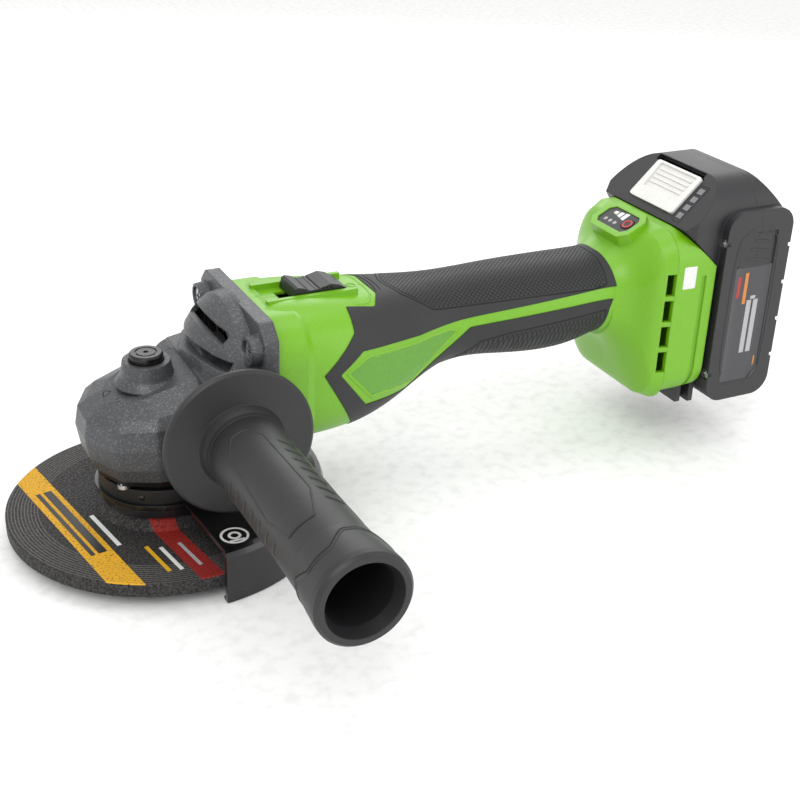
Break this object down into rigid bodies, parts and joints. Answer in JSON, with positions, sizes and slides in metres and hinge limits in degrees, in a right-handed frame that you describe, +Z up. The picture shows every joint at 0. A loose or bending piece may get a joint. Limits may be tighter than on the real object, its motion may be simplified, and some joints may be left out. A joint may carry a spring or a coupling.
{
  "type": "cordless angle grinder",
  "caption": "Hand-held battery grinder: bevel-gear head with a depressed-centre wheel and guard, side handle, slide switch, slide-on battery pack.",
  "frame": {"origin": "bottom centre of the whole tool's box, with the guard's rim on the ground plane", "axes": "+X from the wheel back to the battery, -Y along the side handle, +Z up, with the spindle along Z"},
  "size_m": [0.3454, 0.2258, 0.1271],
  "materials": {
    "abrasive": "gritty, dull",
    "case_paint": "speckled metallic paint, satin",
    "dark_cover": "satin black",
    "black_oxide": "turned, black oxide",
    "steel": "turned steel",
    "gear_steel": "hardened, oiled",
    "screw_steel": "bright zinc plate",
    "guard_paint": "gloss black powder coat",
    "green_abs": "fine grained",
    "rubber": "soft matt rubber",
    "dark_nylon": "glass-filled nylon, matt",
    "handle_rubber": "matt rubber",
    "pack_abs": "fine spark-eroded texture",
    "latch_white": "semi-gloss",
    "button_black": "semi-gloss",
    "button_red": "ring of the button",
    "grey_bar": "lens of a charge light",
    "copper": "enamelled copper",
    "lamination": "stacked sheet",
    "magnet": "nickel plated",
    "board": "solder mask",
    "component": "moulded",
    "fan_nylon": "moulded nylon",
    "sink": "extruded",
    "cell_can": "sleeved can",
    "nickel": "thin strip",
    "brass": "plated contact",
    "bronze": "sintered bronze",
    "seal_felt": "seal",
    "ivory_nylon": "moulded nylon",
    "spring_steel": "spring wire"
  },
  "bodies": {
    "housing": {"gear_case": "case_paint", "bearing_cover": "dark_cover", "spindle_seal": "seal_felt", "cover_screws": "screw_steel", "case_screws": "screw_steel", "spindle_bearing_outer": "gear_steel", "upper_bush": "bronze", "motor_bearing_outers": "gear_steel", "stator_core": "lamination", "stator_windings": "copper", "fan_baffle": "dark_nylon", "left_shell": "green_abs", "right_shell": "green_abs", "grip_rubber_left": "rubber", "grip_rubber_right": "rubber", "shell_screws": "screw_steel", "battery_mount": "green_abs", "terminal_block": "component", "terminal_blades": "brass", "control_panel": "dark_nylon", "control_board": "board", "board_parts": "component", "heat_sink": "sink", "switch_body": "component", "switch_spring": "spring_steel", "side_handle_core": "handle_rubber", "side_handle_grip": "handle_rubber", "handle_stud": "steel", "lock_spring": "spring_steel"},
    "spindle_set": {"spindle": "steel", "spindle_bearing_inner": "gear_steel", "crown_gear": "gear_steel", "inner_flange": "black_oxide", "grinding_wheel": "abrasive", "lock_nut": "steel"},
    "rotor": {"motor_shaft": "steel", "rotor_core": "lamination", "rotor_magnets": "magnet", "pinion_gear": "gear_steel", "cooling_fan": "fan_nylon", "motor_bearing_inners": "gear_steel"},
    "lock": {"lock_button": "button_black", "lock_pin": "steel"},
    "switch": {"slide_button": "dark_nylon", "slide_rod": "ivory_nylon"},
    "guard": {"guard_shell": "guard_paint", "guard_band": "guard_paint", "clamp_screw": "screw_steel", "clamp_nut": "screw_steel"},
    "battery": {"battery_case_front": "pack_abs", "battery_case_rear": "pack_abs", "battery_cells": "cell_can", "cell_holders": "ivory_nylon", "cell_strips": "nickel", "battery_board": "board", "battery_screws": "screw_steel", "charge_bars": "grey_bar", "latch_spring": "spring_steel"},
    "latch": {"battery_latch": "latch_white"},
    "speed": {"speed_button": "button_red"}
  },
  "joints": [
    {"name": "spindle_spin", "type": "hinge", "parent": "housing", "child": "spindle_set", "pos_m": [-0.11025, 0.0465, 0.0109], "axis": [0, 0, 1], "continuous": true},
    {"name": "rotor_spin", "type": "hinge", "parent": "housing", "child": "rotor", "pos_m": [-0.06025, 0.0465, 0.0659], "axis": [1, 0, 0], "continuous": true},
    {"name": "lock_press", "type": "slide", "parent": "housing", "child": "lock", "axis": [0, 0, -1], "range_m": [0, 0.0032], "stiffness_N_per_m": 600, "springref_m": -0.002, "deforming": ["lock_spring"]},
    {"name": "switch_slide", "type": "slide", "parent": "housing", "child": "switch", "axis": [-1, 0, 0], "range_m": [0, 0.009], "stiffness_N_per_m": 250, "springref_m": -0.002, "deforming": ["switch_spring"]},
    {"name": "guard_swivel", "type": "hinge", "parent": "housing", "child": "guard", "pos_m": [-0.11025, 0.0465, 0.0209], "axis": [0, 0, 1], "range_deg": [-90, 90]},
    {"name": "battery_slide", "type": "slide", "parent": "housing", "child": "battery", "axis": [0, 0, 1], "range_m": [0, 0.09]},
    {"name": "latch_press", "type": "slide", "parent": "battery", "child": "latch", "axis": [0.6884, 0, -0.7254], "range_m": [0, 0.004], "stiffness_N_per_m": 400, "springref_m": -0.002, "deforming": ["latch_spring"]},
    {"name": "speed_button_press", "type": "slide", "parent": "housing", "child": "speed", "axis": [0.454, 0, -0.891], "range_m": [0, 0.0005], "stiffness_N_per_m": 900, "springref_m": -0.001}
  ],
  "couplings": [
    {"joint": "rotor_spin", "follows": "spindle_spin", "ratio": 3}
  ]
}
